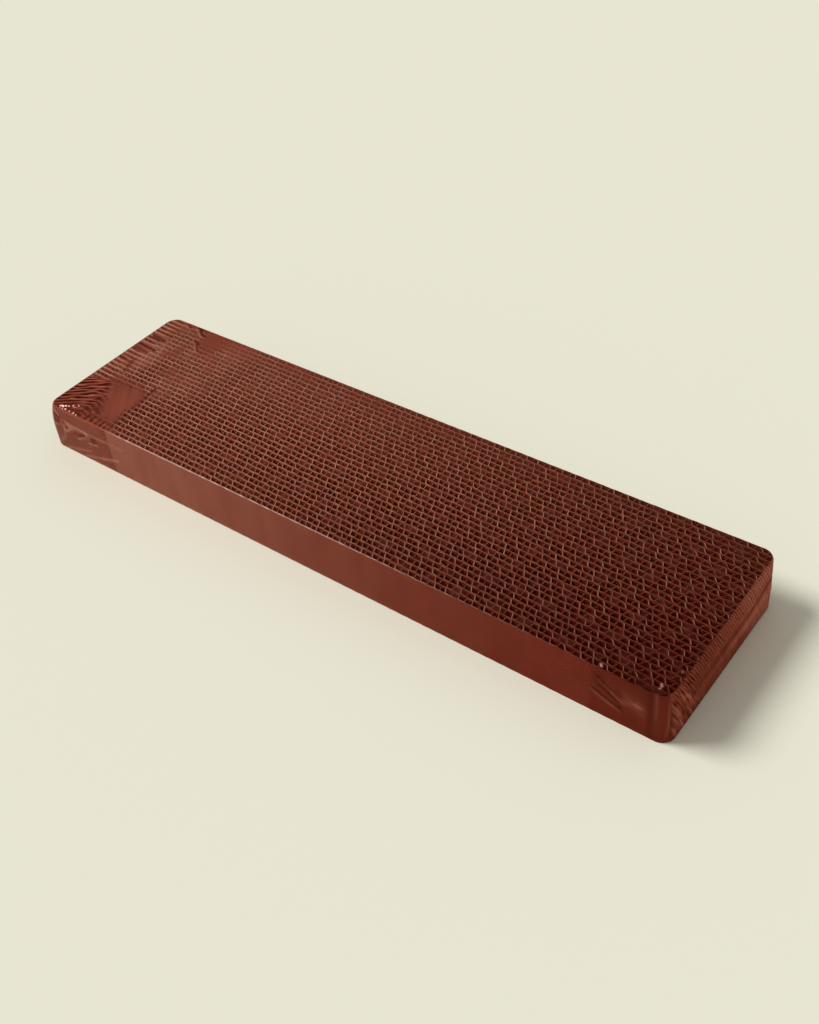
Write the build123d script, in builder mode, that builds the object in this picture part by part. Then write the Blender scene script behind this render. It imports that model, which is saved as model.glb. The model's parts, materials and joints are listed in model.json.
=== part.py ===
from build123d import *

import math
import os

# Cardboard cat scratcher: a long pad of corrugated board strips in a clear shrink film.
#
# The pad is a stack of identical strips of single-wall board. Each strip stands on its cut edge,
# so that the open flutes face up and down, and its two liner papers are glued to the liners of the
# strips beside it. A heat-shrunk film holds the stack and presses its four corners round.
#
# Frame: X along the strips, Y across the stack, Z up. The origin is the middle of the underside.

# Driving dimensions, in millimetres
strip_length = 464.0
strip_height = 36.0
strip_count = 29
corner_radius = 8.0

# One corrugated board. Two flutes of the real pitch are drawn as one wave of twice its length
board_thickness = 4.1
liner_thickness = 0.25
medium_thickness = 0.25
flute_pitch = 8.2
flutes_per_wave = 2

# The film, its turned-in rim round the open flutes and the seal bead across each end
film_thickness = 0.1
film_rim = 3.0
seal_bead_height = 1.6
seal_bead_depth = 0.5

# Each strip is cut from the sheet at another point of the wave, this share of it further on
phase_step_share = 0.37

# What follows from the sizes above
pad_width = strip_count * board_thickness
wave_length = flute_pitch * flutes_per_wave
flute_rise = board_thickness - 2 * liner_thickness
liner_offset = (board_thickness - liner_thickness) / 2
strip_base = Plane.XY.offset(film_thickness)

os.makedirs("parts", exist_ok=True)


def strip_middle(index):
    """Y of the middle of a strip, counted from the -Y side."""
    return (index - (strip_count - 1) / 2) * board_thickness


def flute_outline(middle, phase_share):
    """Corners of one fluted paper as a zigzag ribbon that runs past both ends of its strip."""
    half_wave = wave_length / 2
    paper = medium_thickness * math.hypot(1, flute_rise / half_wave)
    crest = middle + flute_rise / 2
    trough = middle - flute_rise / 2
    start = -strip_length / 2 - (1 + phase_share) * wave_length
    far_edge = []
    near_edge = []
    for corner in range(2 * math.ceil(strip_length / wave_length) + 5):
        x = start + corner * half_wave
        on_crest = corner % 2 == 0
        far_edge.append((x, crest if on_crest else trough + paper))
        near_edge.append((x, crest - paper if on_crest else trough))
    return far_edge + near_edge[::-1]


# Corrugated strips: two liner papers and the fluted paper between them
for index in range(strip_count):
    name = f"strip_{index + 1:02d}"
    middle = strip_middle(index)

    with BuildPart() as liners:
        with BuildSketch(strip_base):
            with Locations((0, middle - liner_offset), (0, middle + liner_offset)):
                Rectangle(strip_length, liner_thickness)
            RectangleRounded(strip_length, pad_width, corner_radius, mode=Mode.INTERSECT)
        extrude(amount=strip_height)
    liners.part.label = f"{name}_liners"
    export_step(liners.part, f"parts/{name}_liners.step")

    with BuildPart() as flutes:
        with BuildSketch(strip_base) as ribbon:
            with BuildLine():
                Polyline(flute_outline(middle, index * phase_step_share % 1), close=True)
            make_face()
            RectangleRounded(strip_length, pad_width, corner_radius, mode=Mode.INTERSECT)
        extrude(ribbon.sketch.faces().sort_by(SortBy.AREA)[-1], amount=strip_height)
    flutes.part.label = f"{name}_flutes"
    export_step(flutes.part, f"parts/{name}_flutes.step")

# Shrink film: a skin under and round the stack, turned in over its top edge, with a seal bead
# across the middle of each end. The clear panel over the flutes is left open to show them
film_length = strip_length + 2 * film_thickness
film_width = pad_width + 2 * film_thickness
film_height = strip_height + 2 * film_thickness
film_corner_radius = corner_radius + film_thickness

with BuildPart() as film:
    with BuildSketch():
        RectangleRounded(film_length, film_width, film_corner_radius)
    extrude(amount=film_height)
    with Locations((0, 0, film_height / 2)):
        Box(film_length + 2 * seal_bead_depth, pad_width - 2 * corner_radius, seal_bead_height)
    with BuildSketch(strip_base):
        RectangleRounded(strip_length, pad_width, corner_radius)
    extrude(amount=strip_height, mode=Mode.SUBTRACT)
    with BuildSketch(Plane.XY.offset(film_height)):
        RectangleRounded(strip_length - 2 * film_rim, pad_width - 2 * film_rim, corner_radius - film_rim)
    extrude(amount=-film_thickness, mode=Mode.SUBTRACT)
film.part.label = "shrink_film"
export_step(film.part, "parts/shrink_film.step")
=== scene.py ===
import json
import math

import bpy
import numpy as np
from mathutils import Matrix, Vector

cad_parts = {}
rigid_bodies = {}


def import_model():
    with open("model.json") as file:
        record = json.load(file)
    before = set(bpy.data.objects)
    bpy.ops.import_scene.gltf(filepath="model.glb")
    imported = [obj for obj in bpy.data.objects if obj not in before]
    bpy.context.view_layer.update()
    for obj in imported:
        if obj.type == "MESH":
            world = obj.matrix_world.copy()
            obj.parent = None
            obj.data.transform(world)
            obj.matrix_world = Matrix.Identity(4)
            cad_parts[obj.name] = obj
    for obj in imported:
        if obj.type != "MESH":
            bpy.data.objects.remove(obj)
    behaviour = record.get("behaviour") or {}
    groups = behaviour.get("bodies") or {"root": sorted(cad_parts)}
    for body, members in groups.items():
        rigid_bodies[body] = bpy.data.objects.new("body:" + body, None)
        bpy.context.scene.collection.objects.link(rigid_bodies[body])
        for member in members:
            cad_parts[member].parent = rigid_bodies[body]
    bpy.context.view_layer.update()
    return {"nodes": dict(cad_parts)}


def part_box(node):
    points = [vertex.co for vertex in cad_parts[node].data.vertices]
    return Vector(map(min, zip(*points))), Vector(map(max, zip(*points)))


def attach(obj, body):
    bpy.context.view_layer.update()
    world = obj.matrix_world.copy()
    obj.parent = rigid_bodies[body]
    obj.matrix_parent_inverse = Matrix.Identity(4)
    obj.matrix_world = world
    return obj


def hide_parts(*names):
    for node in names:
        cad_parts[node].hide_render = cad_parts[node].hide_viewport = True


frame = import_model()


# Fluted papers
# The wavy middle paper of each board strip is thin recycled kraft, pressed into C flutes by hot
# toothed rolls and glued at its tips to the two liners. The strip stands on its cut edge, so the
# flutes are open to the top, and the saw leaves their upper edges a little bent and uneven.
flute_pitch = 0.0083
flute_paper = 0.00036
spare_waves = 4
paper_sharp_angle = math.radians(50)
triangular_steepness, square_steepness = 2.1, 12.0
triangular_lean_share, square_lean_share = 0.17, 0.30
square_start_share, square_full_share = 0.06, 0.52
flute_stop_shares = (0.0, 0.020, 0.060, 0.15, 0.25, 0.35, 0.44, 0.48)
flute_carry_share = 0.24
pair_jump_shares = (0.22, 0.62)
left_carry_share = 0.165
left_jitter_share = 0.05
left_start_share, left_full_share = 0.40, 0.75
pair_drift_share, pair_drift_length = 0.14, 0.14
strip_drift_share, strip_drift_length = 0.05, 0.05
flute_drift_share, flute_drift_length = 0.060, 0.013
flute_crush_share, flute_crush_length = 0.12, 0.05
tear_length = 0.012
cut_edge_depth = 0.0030
cut_edge_bend, cut_bend_length = 0.00022, 0.006
cut_edge_step, cut_step_length = 0.00016, 0.004
pair_seed, strip_seed, flute_seed, crush_seed = 100, 150, 170, 200
left_seed, bend_seed, step_seed, tear_seed = 300, 400, 600, 900
stack_sway = 0.00035
sway_length, sway_slant = 0.031, 0.05
short_sway_share, short_sway_length, short_sway_slant = 0.6, 0.0137, 0.021
corner_radius = 0.0080
corner_clearance = 0.0006
left_end_spread = 0.0078
left_end_draw = 0.0004
right_end_spread = 0.0010
end_lean_reach = 0.050
flute_colour = (0.224, 0.0122, 0.0016)
brown_wall_colour = (0.205, 0.044, 0.0055)
wall_fleck_colour = (0.030, 0.004, 0.002)
clean_edge_colour = (0.236, 0.047, 0.032)
# The lighter colour of frayed cut edges, also used as painted light on lit flanks and far rows
torn_edge_highlight_colour = (0.600, 0.323, 0.234)
flute_fleck_colour = (0.120, 0.030, 0.016)
wall_roughness, cut_roughness = 0.9, 0.95
wall_mottle, wall_grain = 0.85, 650.0
paper_cloud_scale = 90.0
paper_fleck_scale, paper_fleck_share = 420.0, 0.55
fibre_bump, fibre_depth = 0.35, 0.0002
paper_gloss = 0.05

strip_names = sorted(name[: -len("_flutes")] for name in frame["nodes"] if name.endswith("_flutes"))
strip_boxes = {name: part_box(f"{name}_liners") for name in strip_names}
pad_half_length = max(high[0] for low, high in strip_boxes.values())
pad_half_width = max(high[1] for low, high in strip_boxes.values())


def slow_noise(x, seed, wavelength):
    """A smooth seeded curve of about unit size along x, made of a few sine waves."""
    rng = np.random.default_rng(seed)
    total = np.zeros_like(x)
    for share in (1.0, 0.62, 0.37):
        total += share * np.sin(2 * np.pi * x / (wavelength * share) + rng.uniform(0, 2 * np.pi))
    return total / 1.5


def ramp(value, start, stop):
    """Rises evenly from 0 at start to 1 at stop."""
    return np.clip((value - start) / (stop - start), 0, 1)


def left_share(x):
    """1 at the pad's left end and 0 at its right end."""
    return np.clip(0.5 - x / (2 * pad_half_length), 0, 1)


def stack_offset(x, y):
    """How far the whole stack of strips sways across its width at a point, nothing at its sides."""
    room = 1 - (y / pad_half_width) ** 2
    long_sway = np.sin(x / sway_length + y / sway_slant)
    short_sway = short_sway_share * np.sin(x / short_sway_length - y / short_sway_slant)
    return stack_sway * room * (long_sway + short_sway)


def end_setback(y):
    """How far the rounded plan corners draw in the end of a paper that lies at y."""
    past = np.clip(np.abs(y) - (pad_half_width - corner_radius), 0, corner_radius)
    return corner_radius - np.sqrt(corner_radius**2 - past**2)


def end_lean(x, height_share):
    """How far the pad's end is moved at a height: its base spreads outwards, more so at the left end,
    where the film also draws in the top edge."""
    past = ramp(np.abs(x), pad_half_length - end_lean_reach, pad_half_length)
    low_share = 1 - np.clip(height_share, 0, 1) ** 3
    left_move = left_end_draw - (left_end_spread + left_end_draw) * low_share
    return np.where(x < 0, left_move, right_end_spread * low_share) * past * past * (3 - 2 * past)


def standing_paper(name, centre_line, thickness, levels, bends, steps):
    """A paper that stands on edge along a line in plan: two faces, two cut edges and two ends.
    At each level the line is bent sideways, and its height is changed, point by point."""
    tangent = np.gradient(centre_line, axis=0)
    tangent /= np.linalg.norm(tangent, axis=1)[:, None]
    side = np.stack([-tangent[:, 1], tangent[:, 0]], axis=1)
    loops = []
    for face in (-1, 1):
        order = range(len(levels)) if face < 0 else reversed(range(len(levels)))
        for level in order:
            plan = centre_line + side * (bends[level] + face * thickness / 2)[:, None]
            plan[:, 0] += end_lean(plan[:, 0], levels[level] / levels[-1])
            loops.append(np.column_stack([plan, levels[level] + steps[level]]))
    points = np.stack(loops, axis=1)
    count, around = points.shape[:2]
    along, ring = np.meshgrid(np.arange(count - 1), np.arange(around), indexing="ij")
    after = (ring + 1) % around
    quads = np.stack(
        [along * around + ring, (along + 1) * around + ring,
         (along + 1) * around + after, along * around + after], axis=-1).reshape(-1, 4)
    first_end = list(range(around))
    last_end = [(count - 1) * around + k for k in reversed(range(around))]
    mesh = bpy.data.meshes.new(name)
    mesh.from_pydata(points.reshape(-1, 3).tolist(), [], quads.tolist() + [first_end, last_end])
    cut_edge = np.tile(np.isin(np.arange(around), (len(levels) - 1, around - 1)), count - 1)
    slots = np.concatenate([cut_edge.astype(np.int32), np.ones(2, np.int32)])
    mesh.polygons.foreach_set("material_index", slots)
    mesh.polygons.foreach_set("use_smooth", np.ones(len(slots), bool))
    mesh.set_sharp_from_angle(angle=paper_sharp_angle)
    paper = bpy.data.objects.new(name, mesh)
    bpy.context.collection.objects.link(paper)
    return paper


def linked(tree, kind, links=None, **values):
    """Adds a shader node, sets its properties and sockets, and links its inputs."""
    made = tree.nodes.new(kind)
    for key, value in values.items():
        if key.startswith("in_"):
            made.inputs[key[3:].replace("_", " ")].default_value = value
        else:
            setattr(made, key, value)
    for socket, source in (links or {}).items():
        tree.links.new(source, made.inputs[socket])
    return made


def kraft_paper(name, colour, fleck_colour, roughness, tear_and_highlight_colour=None, mottle=0.17,
                grain=1400.0):
    """Recycled kraft: cloudy tone, fine fibres in all directions and a few dark flecks.
    Where the paper is marked it takes the second colour: frayed, lighter edges and browner walls,
    partly painted light, on the flanks that face the light and on the far rows."""
    material = bpy.data.materials.new(name)
    material.use_nodes = True
    tree = material.node_tree
    shader = tree.nodes["Principled BSDF"]
    place = linked(tree, "ShaderNodeTexCoord").outputs["Object"]
    clouds = linked(tree, "ShaderNodeTexNoise", {"Vector": place}, in_Scale=paper_cloud_scale,
                    in_Detail=3.0)
    fibres = linked(tree, "ShaderNodeTexNoise", {"Vector": place}, in_Scale=grain,
                    in_Detail=4.0, in_Roughness=0.65)
    flecks = linked(tree, "ShaderNodeTexVoronoi", {"Vector": place}, in_Scale=paper_fleck_scale)
    fleck_mask = linked(tree, "ShaderNodeMapRange", {"Value": flecks.outputs["Distance"]},
                        in_From_Min=0.10, in_From_Max=0.16,
                        in_To_Min=paper_fleck_share, in_To_Max=0.0)
    tone = linked(tree, "ShaderNodeMix", {"Factor": clouds.outputs["Fac"]}, data_type="RGBA")
    red, green, blue = colour
    dark, light = 0.80, 1.18
    redder, browner = dark - 0.65 * mottle, light + 1.10 * mottle
    tone.inputs[6].default_value = (dark * red, redder * green, dark * blue, 1.0)
    tone.inputs[7].default_value = (light * red, browner * green, light * blue, 1.0)
    fibre_tone = linked(tree, "ShaderNodeMapRange", {"Value": fibres.outputs["Fac"]},
                        in_From_Min=0.3, in_From_Max=0.7,
                        in_To_Min=1 - mottle, in_To_Max=1 + mottle)
    surface = tone.outputs[2]
    if tear_and_highlight_colour:
        tear_and_highlight = linked(tree, "ShaderNodeAttribute", attribute_name="tear_and_highlight")
        furry_and_lit = linked(tree, "ShaderNodeMix", {"Factor": tear_and_highlight.outputs["Fac"], 6: surface},
                       data_type="RGBA")
        furry_and_lit.inputs[7].default_value = tear_and_highlight_colour + (1.0,)
        surface = furry_and_lit.outputs[2]
    fibred = linked(tree, "ShaderNodeVectorMath", {0: surface, 1: fibre_tone.outputs["Result"]},
                    operation="MULTIPLY")
    flecked = linked(tree, "ShaderNodeMix",
                     {"Factor": fleck_mask.outputs["Result"], 6: fibred.outputs[0]}, data_type="RGBA")
    flecked.inputs[7].default_value = fleck_colour + (1.0,)
    bump = linked(tree, "ShaderNodeBump", {"Height": fibres.outputs["Fac"]},
                  in_Strength=fibre_bump, in_Distance=fibre_depth)
    tree.links.new(flecked.outputs[2], shader.inputs["Base Color"])
    tree.links.new(bump.outputs["Normal"], shader.inputs["Normal"])
    shader.inputs["Roughness"].default_value = roughness
    shader.inputs["Specular IOR Level"].default_value = paper_gloss
    return material


flute_kraft = kraft_paper("flute_kraft", flute_colour, wall_fleck_colour, wall_roughness,
                          brown_wall_colour, wall_mottle, wall_grain)
flute_cut_edge = kraft_paper("flute_cut_edge", clean_edge_colour, flute_fleck_colour, cut_roughness,
                             torn_edge_highlight_colour)

flute_start = left_start = 0.0
for number, name in enumerate(strip_names):
    low, high = strip_boxes[name]
    flute_low, flute_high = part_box(f"{name}_flutes")
    middle = (low[1] + high[1]) / 2
    rise = (flute_high[1] - flute_low[1] - flute_paper) / 2
    pair = number // 2
    jump = np.random.default_rng(number).uniform(*pair_jump_shares) if number % 2 == 0 else 0.0
    flute_start += flute_carry_share + jump
    jitter = np.random.default_rng(number + left_seed).uniform(-left_jitter_share, left_jitter_share)
    left_start += left_carry_share + jitter
    left_shift = (left_start - flute_start + 0.5) % 1 - 0.5
    half_stops = np.array(flute_stop_shares)
    wave_stops = np.concatenate([half_stops, 0.5 + half_stops])
    wave_count = math.ceil(2 * pad_half_length / flute_pitch) + spare_waves
    turn = (np.arange(wave_count)[:, None] - wave_count / 2 + wave_stops).reshape(-1)
    x = flute_pitch * (turn - flute_start % 1)
    x -= flute_pitch * left_shift * ramp(left_share(x), left_start_share, left_full_share)
    to_left = left_share(x)
    slip = slow_noise(x, pair + pair_seed, pair_drift_length)
    slip *= pair_drift_share * (1 - 0.6 * to_left)
    slip += strip_drift_share * slow_noise(x, number + strip_seed, strip_drift_length)
    flute_drift = slow_noise(x, number + flute_seed, flute_drift_length)
    slip += flute_drift_share * (1 - 0.5 * to_left) * flute_drift
    squareness = ramp(to_left, square_start_share, square_full_share)
    steepness = triangular_steepness + (square_steepness - triangular_steepness) * squareness
    lean_share = triangular_lean_share + (square_lean_share - triangular_lean_share) * squareness
    wave = np.tanh(steepness * np.sin(2 * np.pi * turn)) / np.tanh(steepness)
    crush = flute_crush_share * (1 + slow_noise(x, number + crush_seed, flute_crush_length)) / 2
    y = middle + rise * (1 - crush) * wave
    x -= flute_pitch * slip + lean_share * rise * wave

    # The flank that falls to the right faces the light and is frayed furrier than the one that rises,
    # and its cut edge and wall are painted lighter there: a painted highlight
    fall_start = 0.70 + 0.12 * squareness
    lit_flank = ramp(-np.cos(2 * np.pi * turn), fall_start, fall_start + 0.23 - 0.09 * squareness)
    furry_and_lit = flute_paper * (0.80 + (0.60 - 0.35 * to_left) * lit_flank)
    # The far rows towards the right are painted lighter: a painted sheen
    far_right_sheen = number / len(strip_names) * (1 - to_left)
    lit_flank *= (0.42 + to_left * (0.72 - 0.45 * to_left)) * (0.88 + 0.70 * far_right_sheen)
    rising = 0.03 + to_left * (0.95 - 0.36 * to_left) + 0.26 * far_right_sheen
    uneven_tear = (0.62 - 0.22 * to_left) * slow_noise(x, number + tear_seed, tear_length)
    tear_and_highlight = np.maximum(lit_flank, rising) * np.clip(0.74 + uneven_tear, 0.06, 1.25)
    tear_and_highlight = np.clip(tear_and_highlight, 0, 1)
    outside = np.flatnonzero(np.abs(x) > pad_half_length - end_setback(y) - corner_clearance)
    first = outside[outside < len(x) // 2].max() + 1
    last = outside[outside > len(x) // 2].min()
    x, y, tear_and_highlight, furry_and_lit = x[first:last], y[first:last], tear_and_highlight[first:last], furry_and_lit[first:last]
    line = np.column_stack([x, y + stack_offset(x, np.full_like(x, middle))])
    still = np.zeros_like(x)
    levels = [low[2], (low[2] + high[2]) / 2, high[2] - cut_edge_depth, high[2]]
    bend = cut_edge_bend * slow_noise(x, number + bend_seed, cut_bend_length)
    step = -cut_edge_step * np.abs(slow_noise(x, number + step_seed, cut_step_length))
    bends, steps = [still, still, still, bend], [still, still, still, step]
    flutes = standing_paper(f"{name}_fluted_paper", line, furry_and_lit, levels, bends, steps)
    highlighted_tears = np.repeat(tear_and_highlight, 2 * len(levels)).astype(np.float32)
    flutes.data.attributes.new("tear_and_highlight", "FLOAT", "POINT").data.foreach_set("value", highlighted_tears)
    flutes.data.materials.append(flute_kraft)
    flutes.data.materials.append(flute_cut_edge)
    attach(flutes, "root")
    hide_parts(f"{name}_flutes")


# Liner papers
# Each strip's two flat papers are heavier kraft, smooth on the outside. Hot glue at the flute tips
# draws them in between the tips, so they ripple a little along the strip. Two liners of neighbouring
# strips lie glued back to back, and the two outermost are bent round the pad's upright corners.
liner_paper = 0.00025
liner_height_shares = (0.0, 0.5, 0.7, 0.84, 0.93, 1.0)
liner_ripple = 0.00006
liner_steps = 4
corner_steps = 10
liner_step_seed, liner_step_length = 700, 0.005
liner_tear_seed, liner_tear_length = 950, 0.02
liner_edge_colour = (0.105, 0.024, 0.0135)
liner_fleck_colour = (0.110, 0.025, 0.014)
outer_liner_colour = (0.165, 0.0195, 0.0078)
outer_fleck_colour = (0.090, 0.012, 0.006)
liner_roughness, outer_roughness = 0.82, 0.72

liner_kraft = kraft_paper("liner_kraft", flute_colour, wall_fleck_colour, liner_roughness,
                          brown_wall_colour, wall_mottle, wall_grain)
liner_cut_edge = kraft_paper("liner_cut_edge", liner_edge_colour, liner_fleck_colour, cut_roughness,
                             torn_edge_highlight_colour)
outer_kraft = kraft_paper("outer_liner_kraft", outer_liner_colour, outer_fleck_colour,
                          outer_roughness)


def corner_bend(line, y_sign):
    """Carries an outer liner's line round the pad's rounded corners to its two ends."""
    radius = corner_radius - liner_paper / 2
    angles = np.linspace(np.pi / 2, 0, corner_steps)[1:]
    centre = np.array([pad_half_length - corner_radius, y_sign * (pad_half_width - corner_radius)])
    bend = centre + radius * np.column_stack([np.cos(angles), y_sign * np.sin(angles)])
    return np.concatenate([(bend * (-1, 1))[::-1], line, bend])


for number, name in enumerate(strip_names):
    low, high = strip_boxes[name]
    for side, y in (("near", low[1] + liner_paper / 2), ("far", high[1] - liner_paper / 2)):
        is_outer = (number, side) in ((0, "near"), (len(strip_names) - 1, "far"))
        reach = pad_half_length - (corner_radius if is_outer else float(end_setback(y)))
        reach -= 0.0 if is_outer or end_setback(y) == 0 else corner_clearance
        x = np.linspace(-reach, reach, int(2 * reach / flute_pitch * liner_steps))
        inward = 1 if side == "near" else -1
        ripple = inward * liner_ripple * (1 + np.sin(2 * np.pi * x / flute_pitch + number))
        line = np.column_stack([x, y + ripple + stack_offset(x, np.full_like(x, y))])
        if is_outer:
            line = corner_bend(line, -inward)
        levels = [low[2] + share * (high[2] - low[2]) for share in liner_height_shares]
        still = np.zeros(len(line))
        bends = [still for level in levels]
        fray_seed = 2 * number + inward + liner_step_seed
        frayed = np.abs(slow_noise(line[:, 0], fray_seed, liner_step_length))
        steps = [still for level in levels[:-1]] + [-cut_edge_step * frayed]
        paper = standing_paper(f"{name}_{side}_liner_paper", line, liner_paper, levels, bends, steps)
        # Lighter cut edges towards the left end, and on the far rows at the right as a painted sheen
        tear_and_highlight = 1 + 0.3 * slow_noise(line[:, 0], number + liner_tear_seed, liner_tear_length)
        to_left = left_share(line[:, 0])
        far_right_sheen = number / len(strip_names) * (1 - to_left)
        tear_and_highlight *= 0.02 + to_left * (0.98 - 0.30 * to_left) + 0.22 * far_right_sheen
        highlighted_tears = np.repeat(np.clip(tear_and_highlight, 0, 1), 2 * len(levels)).astype(np.float32)
        paper.data.attributes.new("tear_and_highlight", "FLOAT", "POINT").data.foreach_set("value", highlighted_tears)
        paper.data.materials.append(outer_kraft if is_outer else liner_kraft)
        paper.data.materials.append(liner_cut_edge)
        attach(paper, "root")
        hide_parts(f"{name}_liners")


# Shrink film
# One clear polyolefin film is drawn round the stack, sealed across both ends and shrunk with hot air.
# It is tight and almost unseen over the middle. Its slack gathers at the ends and corners, where it
# folds into ridges and creases whose light and shade are painted into the film's colour, over a
# slight real lift, and the film is cloudy where it lies double. A painted reflection and sheen lie
# over its top and sides.
film_clearance = 0.00025
film_edge_radius = 0.0012
film_fine_step = 0.00056
film_coarse_step = 0.0042
film_row_step = 0.0005
film_far_row_step = 0.0009
film_wall_step = 0.0008
fine_left = 0.072
fine_right = 0.058
fine_near = 0.045
fine_far = 0.020
film_far_edge_step = 0.0006
film_corner_stops = 12
film_edge_stops = 5
left_wrap = 0.35

film_low, film_high = (Vector(corner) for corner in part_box("shrink_film"))
half_length = pad_half_length + film_clearance
half_width = pad_half_width + film_clearance
film_radius = corner_radius + film_clearance
top_z = film_high.z + film_clearance
base_z = film_low.z


def stations(start, stop, step):
    """Even stops from start to stop, both included, about a step apart."""
    return np.linspace(start, stop, max(2, int(round((stop - start) / step)) + 1))


def soft(value, start, stop):
    """Rises smoothly from 0 at start to 1 at stop."""
    share = ramp(value, start, stop)
    return share * share * (3 - 2 * share)


inset_length = half_length - film_edge_radius
inset_width = half_width - film_edge_radius
inset_radius = film_radius - film_edge_radius
columns = np.concatenate([
    stations(-inset_length, -inset_length + fine_left, film_fine_step)[:-1],
    stations(-inset_length + fine_left, inset_length - fine_right, film_coarse_step)[:-1],
    stations(inset_length - fine_right, inset_length, film_wall_step)])
bow = inset_radius * (1 - np.cos(np.linspace(0, np.pi / 2, film_corner_stops)))
rows = np.concatenate([
    -inset_width + bow[:-1],
    stations(-inset_width + inset_radius, -inset_width + fine_near, film_row_step)[:-1],
    stations(-inset_width + fine_near, inset_width - fine_far, film_far_row_step)[:-1],
    stations(inset_width - fine_far, inset_width - inset_radius, film_far_edge_step)[:-1],
    inset_width - bow[::-1]])
past = np.clip(np.abs(rows) - (inset_width - inset_radius), 0, inset_radius)
row_reach = inset_length - inset_radius + np.sqrt(inset_radius**2 - past**2)
grid_x = columns[None, :] / inset_length * row_reach[:, None]
grid_y = np.repeat(rows[:, None], len(columns), axis=1)
index = np.arange(grid_x.size).reshape(grid_x.shape)
top_quads = np.stack([index[:-1, :-1], index[:-1, 1:], index[1:, 1:], index[1:, :-1]], axis=-1)
top_points = np.column_stack([grid_x.reshape(-1), grid_y.reshape(-1), np.full(index.size, top_z)])

rim = np.concatenate([index[0, :-1], index[:-1, -1], index[-1, :0:-1], index[:0:-1, 0]])
rim_plan = top_points[rim, :2]
core = np.clip(rim_plan, (inset_radius - inset_length, inset_radius - inset_width),
               (inset_length - inset_radius, inset_width - inset_radius))
outward = (rim_plan - core) / inset_radius

turns = np.linspace(0, np.pi / 2, film_edge_stops)
walls = stations(base_z + film_edge_radius, top_z - film_edge_radius, film_wall_step)[::-1]
rounding = [(math.sin(turn), film_edge_radius * (1 - math.cos(turn))) for turn in turns]
drops = [(share, top_z - fall) for share, fall in rounding[1:]]
drops += [(1.0, z) for z in walls[1:]]
drops += [(share, base_z + fall) for share, fall in rounding[-2::-1]]
wall_points = np.concatenate([
    np.column_stack([rim_plan + outward * film_edge_radius * share, np.full(len(rim), z)])
    for share, z in drops])
wall_rings = [rim] + [index.size + k * len(rim) + np.arange(len(rim)) for k in range(len(drops))]
wall_quads = np.concatenate([
    np.stack([upper, lower, np.roll(lower, -1), np.roll(upper, -1)], axis=-1)
    for upper, lower in zip(wall_rings[:-1], wall_rings[1:])])

side_count, end_count = len(columns) - 1, len(rows) - 1
foot = wall_rings[-1]
near_foot = foot[: side_count + 1]
far_foot = foot[side_count + end_count : 2 * side_count + end_count + 1][::-1]
base_quads = np.stack([near_foot[:-1], far_foot[:-1], far_foot[1:], near_foot[1:]], axis=-1)
right_base = foot[side_count : side_count + end_count + 1]
left_base = np.append(foot[2 * side_count + end_count :], foot[0])
base_ends = [right_base[::-1].tolist(), left_base[::-1].tolist()]

film_points = np.concatenate([top_points, wall_points])
film_normals = np.concatenate([
    np.tile((0.0, 0.0, 1.0), (index.size, 1)),
    *(np.column_stack([outward * share, np.full(len(rim), math.sqrt(1 - min(1.0, share) ** 2))])
      for share, z in drops)])
along = film_points[:, 0] + half_length
across = film_points[:, 1] + half_width
height = film_points[:, 2]
top = (np.arange(len(film_points)) < index.size).astype(float)
wall = 1 - top
rim_steps = np.linalg.norm(np.diff(rim_plan, axis=0, append=rim_plan[:1]), axis=1)
rim_run = np.concatenate([[0], np.cumsum(rim_steps)[:-1]])
around = rim_steps.sum()
rim_run = np.where(rim_run > around - left_wrap, rim_run - around, rim_run) + film_radius
near_run = np.concatenate([along[: index.size], np.tile(rim_run, len(drops))])
right_run = near_run - rim_run[side_count] - inset_radius * np.pi / 2 + film_radius
facing = np.concatenate([np.zeros((index.size, 2)), np.tile(outward, (len(drops), 1))])
near = wall * np.clip(-facing[:, 1] * 1.2, 0, 1)
right = wall * soft(facing[:, 0], 0.75, 1.0)
left = wall * soft(-facing[:, 0], 0.75, 1.0)
far = wall * np.clip(facing[:, 1] * 1.2, 0, 1)

cloud = np.zeros(len(film_points))
tone = np.ones(len(film_points))
shine = np.zeros(len(film_points))
lift = np.zeros(len(film_points))
comb = np.zeros(len(film_points))
crumple = np.zeros(len(film_points))


def drift(u, v, seed, size):
    """A smooth seeded pattern over a surface, of about unit size, with blotches of the given size."""
    rng = np.random.default_rng(seed)
    total = np.zeros_like(u)
    for _ in range(8):
        heading, turn = rng.uniform(0, 2 * np.pi, 2)
        rate = 2 * np.pi / (size * rng.uniform(0.7, 2.2))
        total += np.sin(rate * (u * np.cos(heading) + v * np.sin(heading)) + turn)
    return total / 2.2


def crease(u, v, start, stop, width):
    """The nearness, from 0 to 1, of a surface's points to a straight crease across it."""
    run_u, run_v = stop[0] - start[0], stop[1] - start[1]
    share = np.clip(((u - start[0]) * run_u + (v - start[1]) * run_v) / (run_u**2 + run_v**2), 0, 1)
    apart = np.hypot(u - start[0] - share * run_u, v - start[1] - share * run_v)
    return np.exp(-(apart / width) ** 2)


def mark(where, cloudy, light, rise=0.0):
    """Blends a mark into the film: how cloudy and light it is there, and how far it stands off."""
    kept, added = cloud * (1 - where), where * cloudy
    tone[:] = (kept * tone + added * light) / np.maximum(kept + added, 1e-6)
    cloud[:] = kept + added
    lift[:] += where * rise


def draw_creases(where, u, v, table, cloudy, light, rise=0.0):
    """Marks a table of creases, each with its start, stop, width and depth."""
    for start, stop, width, depth in table:
        mark(where * crease(u, v, start, stop, width) * depth, cloudy, light, rise)


# The tight middle: a thin dark veil, deeper over the near rows, under a pale haze that thickens to
# the left, a painted reflection, and towards the far side, a painted sheen
strip_pitch = 0.0041
veil_amount, near_veil_amount, veil_light = 0.035, 0.060, 0.07
left_glare_amount, left_glare_light = 0.042, 0.76
far_sheen_amount, far_sheen_light = 0.150, 0.70
end_glare_light, blotch_light, smear_light, far_strip_light = 1.30, 0.50, 0.44, 0.46
glint_height, glint_width, glint_light = 0.0361, 0.0002, 1.55

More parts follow.
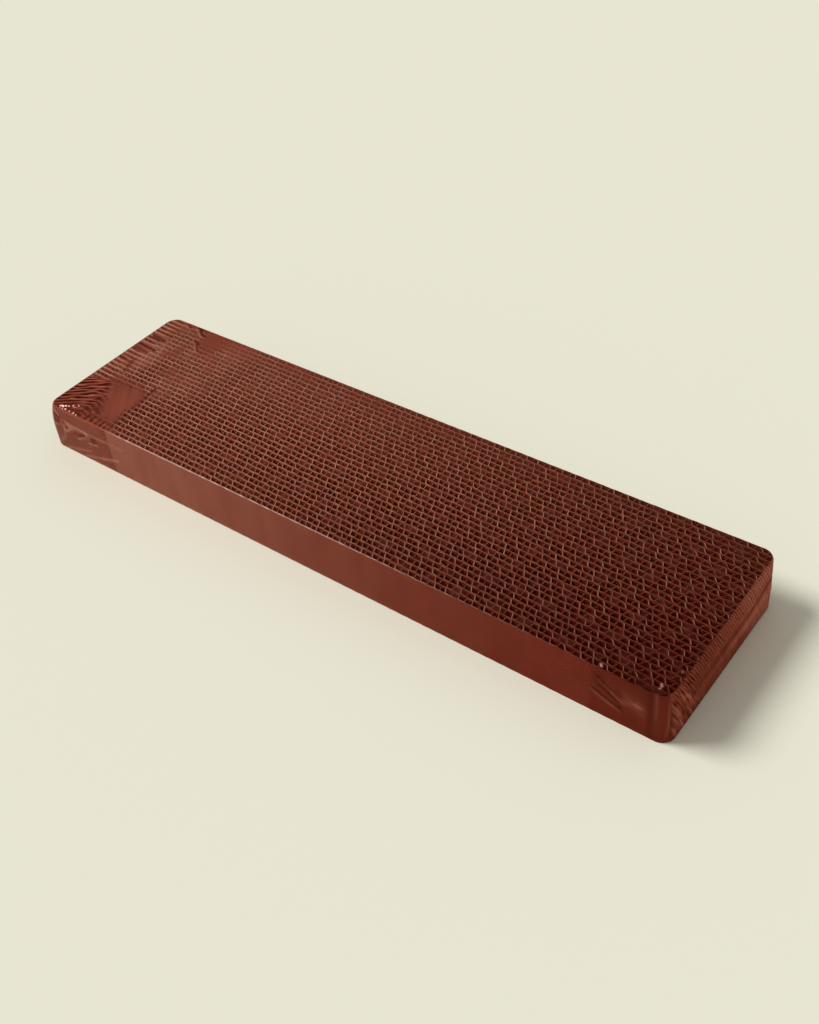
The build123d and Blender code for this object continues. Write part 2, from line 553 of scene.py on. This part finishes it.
left_haze_and_glare = 1 - soft(along, 0.02, 0.44)
near_rows = 1 - soft(across, 0.008, 0.060)
far_rows = soft(across, 0.030, 0.110)
patches = drift(along, across, 1, 0.035)
blotches = drift(along, across, 12, 0.009)
mark(top, veil_amount + near_veil_amount * near_rows, veil_light)
# A pale haze thickening to the left: a painted reflection of the soft light
mark(top * left_glare_amount * left_haze_and_glare * (1 + 0.25 * patches), 1.0, left_glare_light)
# Lighter towards the far side: a painted sheen
mark(top * far_sheen_amount * far_rows * (0.20 + 0.80 * left_haze_and_glare), 1.0, far_sheen_light)
# A pale haze over the left end of the top: a painted reflection, with smears in it
end_haze_and_glare = (1 - soft(along, 0.03, 0.12)) * np.clip(0.6 + 0.4 * soft(across, 0.03, 0.08), 0, 1)
mark(top * end_haze_and_glare * np.clip(0.06 + 0.03 * patches, 0, 1), 1.0, end_glare_light)
mark(top * np.clip(0.20 * (blotches - 0.40), 0, 0.22), 1.0, blotch_light)
smears = drift(along, across, 13, 0.014)
mark(top * end_haze_and_glare * np.clip(0.40 * (smears - 0.35), 0, 0.45), 0.9, smear_light)
far_strip = soft(across + 0.0025 * drift(along, across, 2, 0.05), 0.1035, 0.1135)
far_amount = (0.10 + 0.14 * left_haze_and_glare) * np.clip(1 + 0.35 * drift(along, across, 3, 0.03), 0.2, 1.5)
mark(top * far_strip * far_amount, 1.0, far_strip_light - 0.10 * (1 - left_haze_and_glare))
# Near and far sides: a pale painted reflection, thickest to the left, with upright streaks
upright_streaks = drift(near_run, 0.25 * height, 8, 0.014)
near_haze_and_glare = 0.025 + 0.275 * left_haze_and_glare + (0.012 + 0.014 * left_haze_and_glare) * upright_streaks
mark(near, np.clip(near_haze_and_glare, 0, 1), 1.0)
mark(far, 0.05 + 0.25 * left_haze_and_glare, 0.9)
shine += top * (0.02 + 0.04 * left_haze_and_glare) + (near + far) * (0.05 + 0.20 * left_haze_and_glare)
# A thin painted highlight along the near top edge, broken along its length
near_edge = near * np.exp(-((height - glint_height) / glint_width) ** 2)
edge_glint = soft(near_run, 0.056, 0.080) * (1 - soft(near_run, 0.22, 0.36))
broken = np.clip(0.32 + 0.32 * slow_noise(near_run, 41, 0.011), 0.06, 0.7)
mark(near_edge * edge_glint * broken, 0.90, glint_light)

# The left end of the top: the film dulls the flutes, and it dips into each strip in from the edge,
# with painted shade in the dips and gathers and painted light between them
ragged = along + 0.005 * drift(along, across, 4, 0.02)
dips = 0.5 - 0.5 * np.cos(2 * np.pi * (across + 0.05 * along - 0.0003) / strip_pitch)
left_end = top * (1 - soft(ragged, 0.003, 0.024))
# Painted shade in the dips and painted light on the film between them
left_end_light = 1.50 - 1.15 * dips + 0.06 * patches
mark(left_end * (0.50 + 0.16 * soft(across, 0.06, 0.10)), 0.46, left_end_light)
first_row, row_fall, row_width = 0.0021, 0.0010, 0.0009
# The gathers: dark lines of painted shade, sunk a little
for gather in range(10, 29):
    rng = np.random.default_rng(40 + gather)
    row = first_row + strip_pitch * gather
    reach = rng.uniform(0.006, 0.019)
    line = crease(along, across, (rng.uniform(0, 0.003), row), (reach, row - row_fall), row_width)
    mark(top * line * rng.uniform(0.2, 0.65), 0.90, 0.08, -0.0001)
deep_gathers = ((0.0946, 0.004, 0.0175, 0.80), (0.0826, 0.001, 0.0190, 1.0),
                (0.0782, 0.002, 0.0160, 0.75), (0.0650, 0.001, 0.0080, 0.75))
# Each deep gather: painted shade on one side and painted light on the other
for row, start, reach, depth in deep_gathers:
    stop = (reach, row - row_fall)
    painted_fold_shade = crease(along, across, (start, row), stop, 0.0010)
    painted_fold_light = crease(along, across - first_row, (start, row), stop, row_width)
    mark(top * painted_fold_shade * depth, 0.97, 0.0, -0.0002)
    mark(top * painted_fold_light * 0.4, 0.8, 0.85)
# Loose creases: the first is painted shade, the other two painted light
loose_creases = (
    (((0.0140, 0.0650), (0.0190, 0.0525), 0.0009, 0.65), 0.85, 0.08),
    (((0.0185, 0.0945), (0.0245, 0.0800), 0.0011, 0.40), 0.75, 0.85),
    (((0.0445, 0.0960), (0.0460, 0.0850), 0.0012, 0.35), 0.70, 0.80))
for crease_line, cloudy, light in loose_creases:
    draw_creases(top, along, across, [crease_line], cloudy, light)

# The near left corner: slanting bands with painted shade in their troughs, then a smooth doubled
# patch, and painted highlights with painted shade beside them at the edge
band_pitch, band_slant, band_turn = 0.0040, 0.70, 0.0260
ridge_light, ridge_lift, ridge_shine = 0.63, 0.0005, 0.14
patch_light, patch_shine = 0.31, 0.12
patch_left = 0.0190 + band_slant * (0.040 - across)
corner_area = (top * (1 - soft(along, patch_left + 0.001, patch_left + 0.008))
               * (1 - soft(across - 0.30 * along, 0.030, 0.040)))
turned = np.hypot(along - band_turn, 0.005) + along - band_turn
slant = across - band_slant * along + 0.50 * turned + 0.00055 * drift(along, across, 5, 0.009)
band = 0.5 + 0.5 * np.cos(2 * np.pi * slant / band_pitch)
band_breaks = np.random.default_rng(22).uniform(0, 2 * np.pi, 64)
breaks = band_breaks[np.floor(slant / band_pitch).astype(int) % len(band_breaks)]
strength = np.clip(0.96 + 0.32 * np.sin(2 * np.pi * along / 0.0150 + breaks), 0.64, 1)
strength = np.maximum(strength, 1 - soft(along + 0.5 * across, 0.013, 0.022))
strength *= 1 - 0.42 * soft(along, 0.024, 0.036)
# Painted shade in the troughs between the bands' raised ridges
ridge = ridge_light + 0.11 * drift(along, across, 9, 0.006) - 0.30 * soft(along, 0.020, 0.034)
mark(corner_area * 0.97, 0.97, ridge * (1 - (1 - band**5.0) * strength))
lift += corner_area * ridge_lift * band
shine += corner_area * band * ridge_shine
wobble = 0.0011 * drift(along, across, 6, 0.012)
patch_right = 0.0590 - 0.10 * across
patch = (top * soft(along + wobble, patch_left - 0.003, patch_left + 0.006)
         * (1 - soft(along + 0.9 * wobble, patch_right - 0.0045, patch_right + 0.0020))
         * soft(across + wobble, 0.002, 0.012) * (1 - soft(across + 1.5 * wobble, 0.036, 0.050)))
patch_streaks = drift(0.35 * (along - 0.8 * across), 1.6 * (along + across), 7, 0.014)
mark(patch * 0.93, 0.95, patch_light + 0.035 * patch_streaks)
shine += patch * patch_shine
# Painted shade along the patch's edge, its dashes and a fold at its foot; painted light by the dashes
patch_edge = crease(along, across, (0.0538, 0.050), (0.0584, 0.004), 0.0008)
mark(top * patch_edge * (0.30 + 0.65 * soft(across, 0.036, 0.046)), 0.9, 0.02)
patch_dashes = ((0.0372, 0.90), (0.0420, 0.95), (0.0471, 0.70), (0.0512, 0.75), (0.0560, 0.35),
                (0.0592, 0.55))
for dash, depth in patch_dashes:
    dark_dash = crease(along, across, (dash, 0.0012), (dash - 0.0006, 0.0068), 0.0009)
    light_dash = crease(along - 0.0021, across, (dash, 0.0008), (dash, 0.0055), 0.0009)
    mark(top * dark_dash * depth, 0.92, 0.02)
    mark(top * light_dash * 0.5, 0.9, 0.45)
foot_fold = crease(along, across, (0.0330, 0.0170), (0.0395, 0.0100), 0.0017)
mark(top * foot_fold * 0.70, 0.92, 0.08)
far_patch_left = 0.036 + 0.55 * (0.118 - across)
far_patch = (top * soft(along + wobble, far_patch_left - 0.004, far_patch_left + 0.004)
             * (1 - soft(along + wobble, 0.052, 0.060)) * soft(across + 2 * wobble, 0.092, 0.106))
mark(far_patch * 0.85, 0.93, 0.36)
far_corner_creases = (
    ((0.0170, 0.1176), (0.0215, 0.1150), 0.70), ((0.0270, 0.1178), (0.0320, 0.1162), 1.00),
    ((0.0305, 0.1154), (0.0360, 0.1122), 0.90), ((0.0360, 0.1122), (0.0395, 0.1112), 0.50),
    ((0.0370, 0.1040), (0.0430, 0.1020), 0.60), ((0.0405, 0.1020), (0.0460, 0.0970), 0.65))
# Each far corner crease: painted light beside painted shade
for start, stop, depth in far_corner_creases:
    mark(top * crease(along, across + 0.0016, start, stop, 0.0008) * 0.6 * depth, 0.90, 1.05)
    mark(top * crease(along, across, start, stop, 0.0009) * depth, 0.98, 0.0)
# Darker film round the sparkles
darkened_foot = np.exp(-((along - 0.0180) / 0.0105) ** 2 - ((across - 0.0030) / 0.0048) ** 2)
mark(top * darkened_foot * 0.90, 0.96, 0.09)
sparkle = np.random.default_rng(21)
spots = []
arm_spots = 13
spot_scatter = (0.0009, 0.0010)
for number in range(2 * arm_spots):
    share = number % arm_spots / (arm_spots - 1)
    if number < arm_spots:
        on_arm = (0.0095 + 0.0185 * share, 0.0026 - 0.0040 * share * (1 - 0.75 * share))
    else:
        on_arm = (0.0105 + 0.0110 * share, 0.0034 + 0.0046 * share)
    spots.append(np.array(on_arm) + sparkle.uniform(-1, 1, 2) * spot_scatter)
# Painted shade beside each sparkle, then the sparkles as painted highlights
for spot in spots:
    mark(top * crease(along, across, spot, spot + (0.0006, 0.0012), 0.0010) * 0.75, 0.97, 0.0)
for spot in spots:
    glint = crease(along, across, spot, spot + sparkle.uniform(-0.0004, 0.0004, 2), 0.00042)
    mark(top * np.clip(1.3 * glint, 0, 1) * sparkle.uniform(0.6, 1.0), 1.0, 2.0, 0.0001)

# The near side's left end: the film lies double up to an upright edge, with creases from the corner
near_left = near_run + end_lean(film_points[:, 0], height / top_z)
double_left_edge, double_right_edge = (0.0555, 0.0585), (0.4195, 0.4220)
pale_crease_lift = 0.00015
double_left = near * (1 - soft(near_run, *double_left_edge))
mark(double_left, 0.14 + 0.012 * drift(near_run, height, 10, 0.012), 0.85)
mark(near * crease(near_run, height, (0.0530, 0.000), (0.0555, 0.036), 0.0020) * 0.45, 0.14, 0.35)
# Pale creases from the corner: painted highlights over a slight real lift
pale_corner_creases = (
    ((0.0055, 0.0335), (0.0115, 0.0272), 0.0011, 0.62),
    ((0.0115, 0.0272), (0.0165, 0.0252), 0.0012, 0.66),
    ((0.0165, 0.0252), (0.0345, 0.0242), 0.0013, 0.60),
    ((0.0345, 0.0242), (0.0560, 0.0246), 0.0011, 0.36),
    ((0.0560, 0.0246), (0.0700, 0.0250), 0.0010, 0.24),
    ((0.0130, 0.0232), (0.0230, 0.0226), 0.0010, 0.42),
    ((0.0098, 0.0160), (0.0108, 0.0215), 0.0011, 0.55),
    ((0.0120, 0.0182), (0.0145, 0.0186), 0.0010, 0.75),
    ((0.0150, 0.0195), (0.0165, 0.0215), 0.0009, 0.55),
    ((0.0175, 0.0218), (0.0195, 0.0205), 0.0009, 0.55),
    ((0.0260, 0.0212), (0.0330, 0.0232), 0.0010, 0.40),
    ((0.0235, 0.0155), (0.0320, 0.0198), 0.0010, 0.62),
    ((0.0350, 0.0160), (0.0430, 0.0176), 0.0010, 0.66),
    ((0.0330, 0.0240), (0.0375, 0.0195), 0.0014, 0.42),
    ((0.0080, 0.0020), (0.0330, 0.0085), 0.0011, 0.40),
    ((0.0260, 0.0022), (0.0450, 0.0072), 0.0010, 0.45),
    ((0.0450, 0.0072), (0.0620, 0.0122), 0.0011, 0.55),
    ((0.0010, 0.0050), (0.0090, 0.0130), 0.0014, 0.30),
    ((0.0020, 0.0205), (0.0075, 0.0222), 0.0015, 0.35))
draw_creases(near, near_left, height, pale_corner_creases, 0.78, 1.05, pale_crease_lift)
# Dark hollows between the creases: painted shade
dark_corner_hollows = (
    ((0.0035, 0.0302), (0.0078, 0.0277), 0.0013, 0.75),
    ((0.0030, 0.0238), (0.0060, 0.0230), 0.0015, 0.85),
    ((0.0098, 0.0290), (0.0122, 0.0265), 0.0012, 0.65),
    ((0.0260, 0.0200), (0.0315, 0.0222), 0.0012, 0.80),
    ((0.0380, 0.0202), (0.0415, 0.0210), 0.0017, 0.85),
    ((0.0125, 0.0212), (0.0140, 0.0222), 0.0010, 0.60),
    ((0.0205, 0.0195), (0.0225, 0.0205), 0.0011, 0.55),
    ((0.0248, 0.0178), (0.0305, 0.0200), 0.0010, 0.55),
    ((0.0385, 0.0180), (0.0410, 0.0185), 0.0011, 0.60))
draw_creases(near, near_left, height, dark_corner_hollows, 0.62, 0.06)
mark(near * (1 - soft(height, 0.0012, 0.0038)) * 0.30 * left_haze_and_glare, 0.55, 1.0)
mark(double_left * soft(height, 0.0344, 0.0356) * 0.92, 0.90, 0.42)

# The near side's right end: a darker doubled length, a fan of creases drawn in painted light and
# shade, a cloudy smudge, and painted highlights on the top rim
double_right = near * soft(near_run, *double_right_edge)
mark(double_right, 0.10, 0.15)
mark(near * soft(near_run, 0.425, 0.450) * soft(height, 0.0300, 0.0355) * 0.35, 0.45, 0.04)
# Dark fan creases: painted shade
dark_fan = (
    ((0.4245, 0.0296), (0.4372, 0.0210), 0.0011, 0.60),
    ((0.4225, 0.0192), (0.4375, 0.0128), 0.0011, 0.65),
    ((0.4330, 0.0250), (0.4378, 0.0222), 0.0010, 0.55),
    ((0.4262, 0.0238), (0.4360, 0.0170), 0.0009, 0.45))
draw_creases(near, near_run, height, dark_fan, 0.80, 0.0)
# Pale fan creases: painted highlights over a slight real lift
pale_fan = (
    ((0.4255, 0.0268), (0.4330, 0.0222), 0.0009, 0.50),
    ((0.4330, 0.0222), (0.4390, 0.0176), 0.0010, 0.85),
    ((0.4300, 0.0272), (0.4405, 0.0196), 0.0009, 0.50),
    ((0.4212, 0.0172), (0.4370, 0.0108), 0.0010, 0.75),
    ((0.4235, 0.0150), (0.4330, 0.0112), 0.0009, 0.40),
    ((0.4222, 0.0215), (0.4350, 0.0152), 0.0009, 0.45))
draw_creases(0.42 * near, near_run, height, pale_fan, 0.85, 0.95, pale_crease_lift)
smudge_middle, smudge_height = 0.4460, 0.0208
smudge_fall = height - smudge_height + (near_run - smudge_middle) * 0.35
smudge = np.exp(-((near_run - smudge_middle) / 0.0060) ** 2 - (smudge_fall / 0.0048) ** 2)
mark(near * smudge * np.clip(0.36 + 0.14 * drift(near_run, height, 11, 0.004), 0, 0.8), 1.0, 0.92)
# An upright crease: painted highlight above, painted shade beside it
mark(near * crease(near_run, height, (0.4574, 0.036), (0.4566, 0.018), 0.0009) * 0.40, 1.0, 0.75)
mark(near * crease(near_run, height, (0.4562, 0.018), (0.4556, 0.004), 0.0020) * 0.18, 0.8, 0.50)
mark(near * crease(near_run, height, (0.4536, 0.035), (0.4538, 0.004), 0.0022) * 0.50, 0.5, 0.0)
# Folds round the near right corner: painted light over a slight real lift, beside painted shade
corner_folds = ((0.4625, 0.0008), (0.4650, -0.0006), (0.4672, 0.0005), (0.4700, -0.0009))
for fold, bend in corner_folds:
    start, stop = (fold + bend, 0.036), (fold - bend, 0.006)
    mark(wall * crease(near_run, height, start, stop, 0.0007) * 0.60, 0.9, 0.75, 0.0002)
    mark(wall * crease(near_run - 0.0014, height, start, stop, 0.0008) * 0.8, 0.7, 0.0)
rim_fold = soft(along, 0.440, 0.452) * (1 - soft(across + 0.5 * wobble, 0.0022, 0.0050))
mark(top * rim_fold * 0.75, 0.92, 0.13)
# Painted highlights on the top rim
rim_glints = (((0.4264, 0.0008), 0.0018, 1.0), ((0.4572, 0.0058), 0.0016, 0.8),
              ((0.4570, 0.0040), 0.0006, 0.6), ((0.4612, 0.0190), 0.0008, 0.30))
for spot, reach, depth in rim_glints:
    glint = crease(along, across, spot, (spot[0] - 0.7 * reach, spot[1] + reach), 0.00048)
    mark(top * glint * depth, 1.0, 1.9)

# The sealed ends: the strips' ends show through at the top, over a welded band with a painted shadow
# along it, and loose film crowds into upright crinkles at the near corner, painted light and dark
strip_end_slant = 0.55
crinkle_count, crowded_count = 104, 44
for face, across_run, seed in ((right, right_run, 31), (left, across, 32)):
    end_light = 0.33 + 0.32 * soft(across_run, 0.030, 0.110)
    long_streaks = drift(0.12 * across_run, height - 0.02 * across_run, seed, 0.006)
    mark(face, 0.88, end_light + 0.05 * long_streaks)
    slanted = across_run + strip_end_slant * (height - 0.036)
    slanted += 0.0006 * drift(across_run, height, seed + 5, 0.012)
    strip_ends = 0.5 - 0.5 * np.cos(2 * np.pi * slanted / strip_pitch)
    uneven = np.clip(0.6 + 0.4 * drift(across_run, height, seed + 6, 0.008), 0.1, 1.2)
    hang = soft(height + 0.004 * drift(across_run, 0.3 * height, seed + 7, 0.006), 0.020, 0.033)
    mark(face * hang * 0.85, 0.92, end_light + 0.04 - 0.18 * strip_ends * uneven)
    comb += face * soft(height, 0.019, 0.033) * (0.04 + 0.07 * uneven)
    crowd = 1 - soft(across_run + 0.4 * height, 0.026, 0.040)
    crumple += face * (0.10 + 0.32 * crowd)
    weld = crease(across_run, height, (0.022, 0.0120), (0.125, 0.0150), 0.0036)
    mark(face * weld * 0.65, 0.92, end_light + 0.17, 0.0004)
    weld_shadow = (((0.022, 0.0168), (0.090, 0.0195), 0.0016, 0.50),
                   ((0.090, 0.0195), (0.119, 0.0255), 0.0016, 0.50))
    draw_creases(face, across_run, height, weld_shadow, 0.92, 0.16, -0.0003)
    crinkles = np.random.default_rng(seed)
    for crinkle in range(crinkle_count):
        crowded = crinkle < crowded_count
        start = (crinkles.uniform(0.002, 0.026) if crowded else crinkles.uniform(0.026, 0.116),
                 crinkles.uniform(0.010, 0.036))
        fall = crinkles.uniform(0.006, 0.018)
        stop = (start[0] + fall * crinkles.uniform(0.30, 0.60), start[1] - fall)
        line = crease(across_run, height, start, stop, crinkles.uniform(0.00045, 0.00075))
        # The crinkles alternate painted light and painted shade
        light = 0.85 if crinkle % 2 else 0.04
        mark(face * line * crinkles.uniform(0.2, 0.5) * (1.0 if crowded else 0.4), 0.92, light)
    # Painted shade along the foot of the end
    mark(face * (1 - soft(height, 0.0006, 0.0022)) * 0.6, 0.9, 0.08)

film_points += film_normals * lift[:, None]
film_points[:, 0] += end_lean(film_points[:, 0], height / top_z)
film_mesh = bpy.data.meshes.new("shrink_film_skin")
film_faces = np.concatenate([top_quads.reshape(-1, 4), wall_quads, base_quads]).tolist() + base_ends
film_mesh.from_pydata(film_points.tolist(), [], film_faces)
film_mesh.polygons.foreach_set("use_smooth", np.ones(len(film_mesh.polygons), bool))
film_skin = bpy.data.objects.new("shrink_film_skin", film_mesh)
bpy.context.collection.objects.link(film_skin)
for name, values in (("cloud", cloud), ("tone", tone / 2), ("shine", shine), ("comb", comb),
                     ("crumple", crumple)):
    layer = film_mesh.attributes.new(name, "FLOAT", "POINT")
    layer.data.foreach_set("value", np.clip(values, 0, 1))

haze_dark = (0.038, 0.0030, 0.0012)
haze_red = (0.242, 0.055, 0.032)
haze_light = (0.495, 0.180, 0.116)
# The ramp's white end, reached by painted highlights and painted reflection
highlight_white = (0.880, 0.800, 0.760)
haze_roughness = 0.45
clear_colour = (0.98, 0.96, 0.95)
gloss_colour = (1.0, 0.88, 0.82)
gloss_roughness = 0.12
film_index = 1.45
comb_waver, comb_waver_scale = 7.0, 140.0
crinkle_stretch, crinkle_scale = 0.13, 720.0
ripple_strength, ripple_depth, ripple_scale = 0.06, 0.0005, 160.0

clear_film = bpy.data.materials.new("clear_film")
clear_film.use_nodes = True
tree = clear_film.node_tree
haze = tree.nodes["Principled BSDF"]
cloudiness = linked(tree, "ShaderNodeAttribute", attribute_name="cloud")
lightness = linked(tree, "ShaderNodeAttribute", attribute_name="tone")
shininess = linked(tree, "ShaderNodeAttribute", attribute_name="shine")
on_film = linked(tree, "ShaderNodeTexCoord").outputs["Object"]
combing = linked(tree, "ShaderNodeAttribute", attribute_name="comb")
slanting = linked(tree, "ShaderNodeVectorMath", {0: on_film}, operation="DOT_PRODUCT")
slanting.inputs[1].default_value = (0.0, 1.0, strip_end_slant)
waver = linked(tree, "ShaderNodeTexNoise", {"Vector": on_film}, in_Scale=comb_waver_scale,
               in_Detail=2.0)
wavering = linked(tree, "ShaderNodeMath", {0: waver.outputs["Fac"]}, operation="MULTIPLY")
wavering.inputs[1].default_value = comb_waver
comb_turn = linked(tree, "ShaderNodeMath", {0: slanting.outputs["Value"], 2: wavering.outputs[0]},
                   operation="MULTIPLY_ADD")
comb_turn.inputs[1].default_value = 4 * math.pi / strip_pitch
combed = linked(tree, "ShaderNodeMath", {0: comb_turn.outputs[0]}, operation="SINE")
toned = linked(tree, "ShaderNodeMath", {0: combed.outputs[0], 1: combing.outputs["Fac"],
                                        2: lightness.outputs["Fac"]}, operation="MULTIPLY_ADD")
crumpling = linked(tree, "ShaderNodeAttribute", attribute_name="crumple")
upright = linked(tree, "ShaderNodeVectorMath", {0: on_film}, operation="DOT_PRODUCT")
upright.inputs[1].default_value = (0.0, 0.0, crinkle_stretch)
stretched = linked(tree, "ShaderNodeCombineXYZ",
                   {0: slanting.outputs["Value"], 1: upright.outputs["Value"]})
fine_crinkles = linked(tree, "ShaderNodeTexNoise", {"Vector": stretched.outputs[0]},
                       in_Scale=crinkle_scale, in_Detail=2.0)
centred = linked(tree, "ShaderNodeMath", {0: fine_crinkles.outputs["Fac"]}, operation="SUBTRACT")
centred.inputs[1].default_value = 0.5
crumpled = linked(tree, "ShaderNodeMath", {0: centred.outputs[0], 1: crumpling.outputs["Fac"],
                                           2: toned.outputs[0]}, operation="MULTIPLY_ADD")
shade = linked(tree, "ShaderNodeValToRGB", {"Fac": crumpled.outputs[0]})
haze_stops = ((0.0, haze_dark), (0.25, haze_red), (0.5, haze_light), (1.0, highlight_white))
for number, (position, colour) in enumerate(haze_stops):
    ramp_stops = shade.color_ramp.elements
    ramp_stop = ramp_stops[0] if number == 0 else ramp_stops.new(position)
    ramp_stop.position = position
    ramp_stop.color = colour + (1.0,)
shade.color_ramp.elements.remove(shade.color_ramp.elements[-1])
tree.links.new(shade.outputs["Color"], haze.inputs["Base Color"])
haze.inputs["Roughness"].default_value = haze_roughness
haze.inputs["Specular IOR Level"].default_value = 0.0
clear = linked(tree, "ShaderNodeBsdfTransparent", in_Color=clear_colour + (1.0,))
clouded = linked(tree, "ShaderNodeMixShader",
                 {0: cloudiness.outputs["Fac"], 1: clear.outputs[0], 2: haze.outputs[0]})
ripples = linked(tree, "ShaderNodeTexNoise", {"Vector": on_film}, in_Scale=ripple_scale,
                 in_Detail=2.0)
rippled = linked(tree, "ShaderNodeBump", {"Height": ripples.outputs["Fac"]},
                 in_Strength=ripple_strength, in_Distance=ripple_depth)
gloss = linked(tree, "ShaderNodeBsdfGlossy", {"Normal": rippled.outputs["Normal"]},
               in_Roughness=gloss_roughness, in_Color=gloss_colour + (1.0,))
glance = linked(tree, "ShaderNodeFresnel", in_IOR=film_index)
gleam = linked(tree, "ShaderNodeMath", {0: glance.outputs[0], 1: shininess.outputs["Fac"]},
               operation="MULTIPLY")
skin = linked(tree, "ShaderNodeMixShader",
              {0: gleam.outputs[0], 1: clouded.outputs[0], 2: gloss.outputs[0]})
tree.links.new(skin.outputs[0], tree.nodes["Material Output"].inputs["Surface"])
film_mesh.materials.append(clear_film)
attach(film_skin, "root")
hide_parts("shrink_film")


# Floor
# A plain cream sheet under the pad, far larger than the view, matt and even.
floor_half = 4.0
floor_colour = (0.945, 0.935, 0.778)
floor_roughness = 0.95

floor_mesh = bpy.data.meshes.new("floor")
floor_mesh.from_pydata(
    [(-floor_half, -floor_half, 0), (floor_half, -floor_half, 0),
     (floor_half, floor_half, 0), (-floor_half, floor_half, 0)], [], [(0, 1, 2, 3)])
floor = bpy.data.objects.new("floor", floor_mesh)
bpy.context.collection.objects.link(floor)
cream_sheet = bpy.data.materials.new("cream_sheet")
cream_sheet.use_nodes = True
matt = cream_sheet.node_tree.nodes["Principled BSDF"]
matt.inputs["Base Color"].default_value = floor_colour + (1.0,)
matt.inputs["Roughness"].default_value = floor_roughness
matt.inputs["Specular IOR Level"].default_value = 0.0
floor_mesh.materials.append(cream_sheet)


# Light
# Soft daylight from the near left falls on the floor, and a soft box from the same side lights the
# pad, fading towards its right end. A weak fill from the right opens up the shaded end, in an even
# pale room.
sun_direction = Vector((-0.90, -0.34, 1.0))
sun_strength = 2.19
sun_softness = math.radians(25)
room_colour = (1.0, 0.98, 0.94)
room_strength = 0.35
backdrop_colour = (0.800, 0.788, 0.650)
soft_box_place, soft_box_aim = Vector((-0.26, -0.37, 0.60)), Vector((-0.16, 0.0, 0.0))
soft_box_size, soft_box_power, soft_box_spread = 0.30, 1.36, math.radians(90)
fill_place, fill_aim = Vector((0.95, -0.20, 0.16)), Vector((0.23, 0.0, 0.02))
fill_size, fill_power, fill_spread = 0.35, 1.1, math.radians(180)

sun_lamp = bpy.data.lights.new("window", "SUN")
sun_lamp.energy = sun_strength
sun_lamp.angle = sun_softness
sun = bpy.data.objects.new("window", sun_lamp)
sun.rotation_euler = sun_direction.to_track_quat("Z", "Y").to_euler()
bpy.context.collection.objects.link(sun)

pad_pieces = bpy.data.collections.new("pad_pieces")
for piece in bpy.context.collection.objects:
    if piece.name.endswith(("_paper", "_skin")):
        pad_pieces.objects.link(piece)
floor_pieces = bpy.data.collections.new("floor_pieces")
floor_pieces.objects.link(floor)
sun.light_linking.receiver_collection = floor_pieces

for name, place, aim, size, power, spread in (
        ("soft_box", soft_box_place, soft_box_aim, soft_box_size, soft_box_power, soft_box_spread),
        ("fill_card", fill_place, fill_aim, fill_size, fill_power, fill_spread)):
    panel = bpy.data.lights.new(name, "AREA")
    panel.energy = power
    panel.size = size
    panel.spread = spread
    lamp = bpy.data.objects.new(name, panel)
    lamp.location = place
    lamp.rotation_euler = (place - aim).to_track_quat("Z", "Y").to_euler()
    bpy.context.collection.objects.link(lamp)
    lamp.light_linking.receiver_collection = pad_pieces

room = bpy.data.worlds.new("room")
room.use_nodes = True
tree = room.node_tree
even_light = tree.nodes["Background"]
even_light.inputs["Color"].default_value = room_colour + (1.0,)
even_light.inputs["Strength"].default_value = room_strength
backdrop = linked(tree, "ShaderNodeBackground", in_Color=backdrop_colour + (1.0,))
light_path = linked(tree, "ShaderNodeLightPath")
looked_at = light_path.outputs["Is Camera Ray"]
for ray in ("Is Glossy Ray", "Is Transmission Ray"):
    either = linked(tree, "ShaderNodeMath", {0: looked_at, 1: light_path.outputs[ray]},
                    operation="MAXIMUM")
    looked_at = either.outputs[0]
seen = linked(tree, "ShaderNodeMixShader",
              {0: looked_at, 1: even_light.outputs[0], 2: backdrop.outputs[0]})
tree.links.new(seen.outputs[0], tree.nodes["World Output"].inputs["Surface"])
bpy.context.scene.world = room
bpy.context.scene.view_settings.view_transform = "Standard"


# Camera
# The photograph's view: above the near right corner, tilted a little to the side.
camera_place = Vector((0.3904, -0.3988, 0.4989))
camera_forward = Vector((-0.50146, 0.54988, -0.66796)).normalized()
camera_up = Vector((-0.35181, 0.57575, 0.73808))
camera_lens = 42.34

lens = bpy.data.cameras.new("camera")
lens.lens = camera_lens
camera = bpy.data.objects.new("camera", lens)
right_way = camera_forward.cross(camera_up).normalized()
up_way = right_way.cross(camera_forward)
camera_turn = Matrix((right_way, up_way, -camera_forward)).transposed().to_4x4()
camera.matrix_world = Matrix.Translation(camera_place) @ camera_turn
bpy.context.collection.objects.link(camera)
bpy.context.scene.camera = camera
